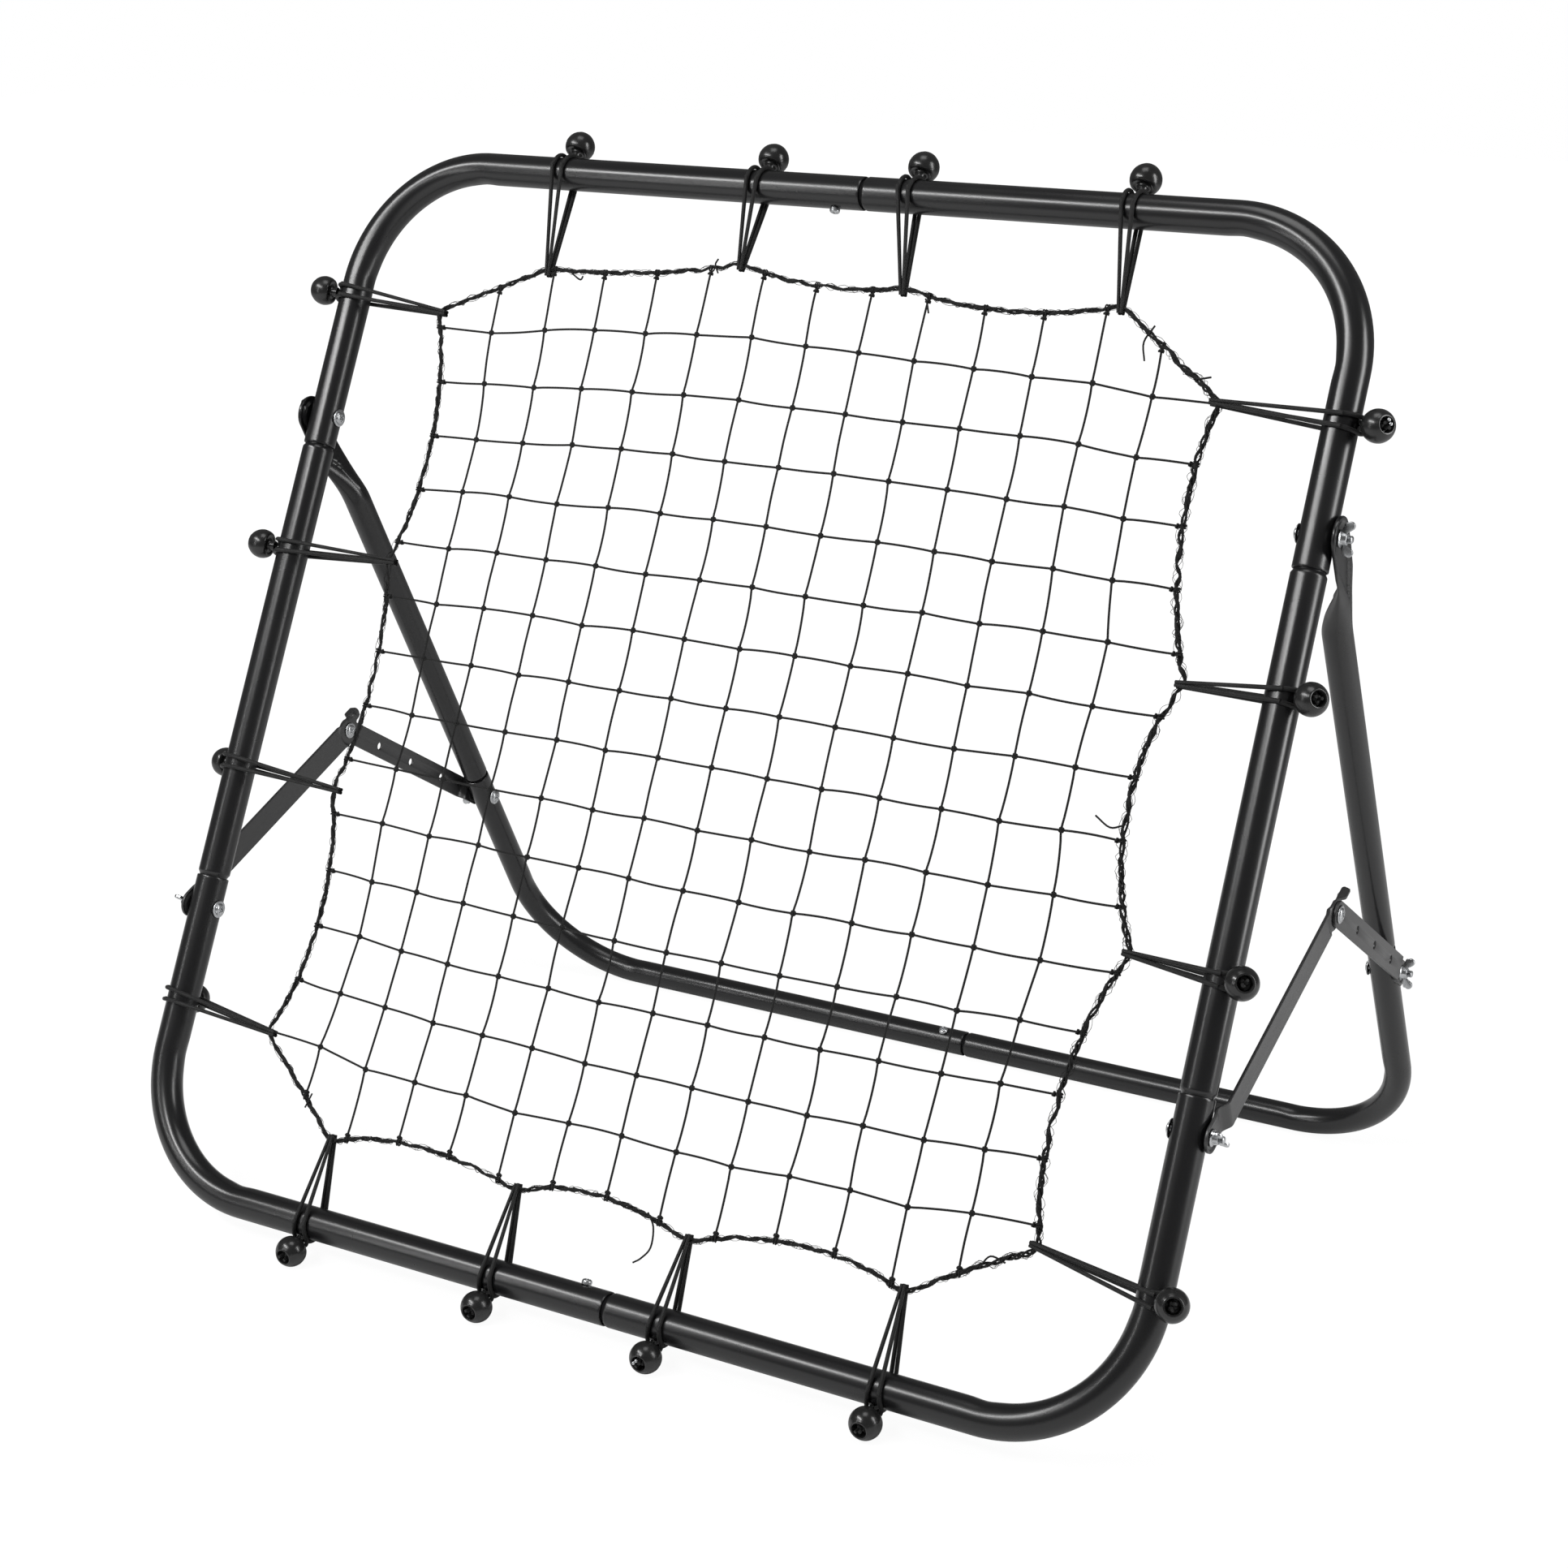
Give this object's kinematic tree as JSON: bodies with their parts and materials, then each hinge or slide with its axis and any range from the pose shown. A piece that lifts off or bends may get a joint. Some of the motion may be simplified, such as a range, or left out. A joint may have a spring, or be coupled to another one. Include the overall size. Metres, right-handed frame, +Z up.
{
  "type": "pitch back rebounder",
  "caption": "Rebound net for ball practice: a square net hung by bungee cords in a tilted tube frame, with a folding rear stand and drilled braces.",
  "frame": {"origin": "on the ground, under the middle of the object's box", "axes": "+Z up, +X to the right seen from the front (net side), +Y to the back, towards the stand"},
  "size_m": [1.0172, 0.6986, 0.8968],
  "materials": {
    "black_paint": "satin powder coat",
    "zinc_steel": "zinc plated",
    "ball_plastic": "matt",
    "bungee_elastic": "braided cover",
    "net_twine": "knotted twine",
    "border_cord": "twisted cord"
  },
  "bodies": {
    "root": {"frame_corner_top_left": "black_paint", "frame_corner_bottom_left": "black_paint", "frame_side_tube_left": "black_paint", "frame_corner_top_right": "black_paint", "frame_corner_bottom_right": "black_paint", "frame_side_tube_right": "black_paint", "pivot_bolt_left": "zinc_steel", "strut_bolt_left": "zinc_steel", "pivot_bolt_right": "zinc_steel", "strut_bolt_right": "zinc_steel", "joint_screw_top": "zinc_steel", "joint_screw_bottom": "zinc_steel", "net_border_cord": "border_cord", "net": "net_twine", "bungee_top_1": "bungee_elastic", "ball_top_1": "ball_plastic", "bungee_top_2": "bungee_elastic", "ball_top_2": "ball_plastic", "bungee_top_3": "bungee_elastic", "ball_top_3": "ball_plastic", "bungee_top_4": "bungee_elastic", "ball_top_4": "ball_plastic", "bungee_right_1": "bungee_elastic", "ball_right_1": "ball_plastic", "bungee_right_2": "bungee_elastic", "ball_right_2": "ball_plastic", "bungee_right_3": "bungee_elastic", "ball_right_3": "ball_plastic", "bungee_right_4": "bungee_elastic", "ball_right_4": "ball_plastic", "bungee_bottom_4": "bungee_elastic", "ball_bottom_4": "ball_plastic", "bungee_bottom_3": "bungee_elastic", "ball_bottom_3": "ball_plastic", "bungee_bottom_2": "bungee_elastic", "ball_bottom_2": "ball_plastic", "bungee_bottom_1": "bungee_elastic", "ball_bottom_1": "ball_plastic", "bungee_left_4": "bungee_elastic", "ball_left_4": "ball_plastic", "bungee_left_3": "bungee_elastic", "ball_left_3": "ball_plastic", "bungee_left_2": "bungee_elastic", "ball_left_2": "ball_plastic", "bungee_left_1": "bungee_elastic", "ball_left_1": "ball_plastic"},
    "stand": {"stand_leg_left": "black_paint", "stand_corner_left": "black_paint", "stand_leg_right": "black_paint", "stand_corner_right": "black_paint", "bar_bolt_left": "zinc_steel", "bar_bolt_right": "zinc_steel", "joint_screw_rear": "zinc_steel"},
    "strut_left": {"brace_strut_left": "black_paint"},
    "strut_right": {"brace_strut_right": "black_paint"},
    "bar_left": {"brace_bar_left": "black_paint", "brace_pin_left": "zinc_steel"},
    "bar_right": {"brace_bar_right": "black_paint", "brace_pin_right": "zinc_steel"}
  },
  "joints": [
    {"name": "stand_fold", "type": "hinge", "parent": "root", "child": "stand", "pos_m": [0, -0.00022, 0.64713], "axis": [-1, 0, 0], "range_deg": [0, 29.5]},
    {"name": "strut_swing_left", "type": "hinge", "parent": "root", "child": "strut_left", "pos_m": [-0.4816, -0.20191, 0.24262], "axis": [-1, 0, 0], "range_deg": [-12.62, 0]},
    {"name": "bar_swing_left", "type": "hinge", "parent": "stand", "child": "bar_left", "pos_m": [-0.4849, 0.22606, 0.22155], "axis": [-1, 0, 0], "range_deg": [0, 34.45]},
    {"name": "strut_swing_right", "type": "hinge", "parent": "root", "child": "strut_right", "pos_m": [0.4816, -0.20191, 0.24262], "axis": [-1, 0, 0], "range_deg": [-12.62, 0]},
    {"name": "bar_swing_right", "type": "hinge", "parent": "stand", "child": "bar_right", "pos_m": [0.4849, 0.22606, 0.22155], "axis": [-1, 0, 0], "range_deg": [0, 34.45]}
  ],
  "couplings": [
    {"joint": "strut_swing_left", "follows": "stand_fold", "ratio": -0.42624},
    {"joint": "bar_swing_left", "follows": "stand_fold", "ratio": 1.1659},
    {"joint": "strut_swing_right", "follows": "stand_fold", "ratio": -0.42624},
    {"joint": "bar_swing_right", "follows": "stand_fold", "ratio": 1.1659}
  ]
}
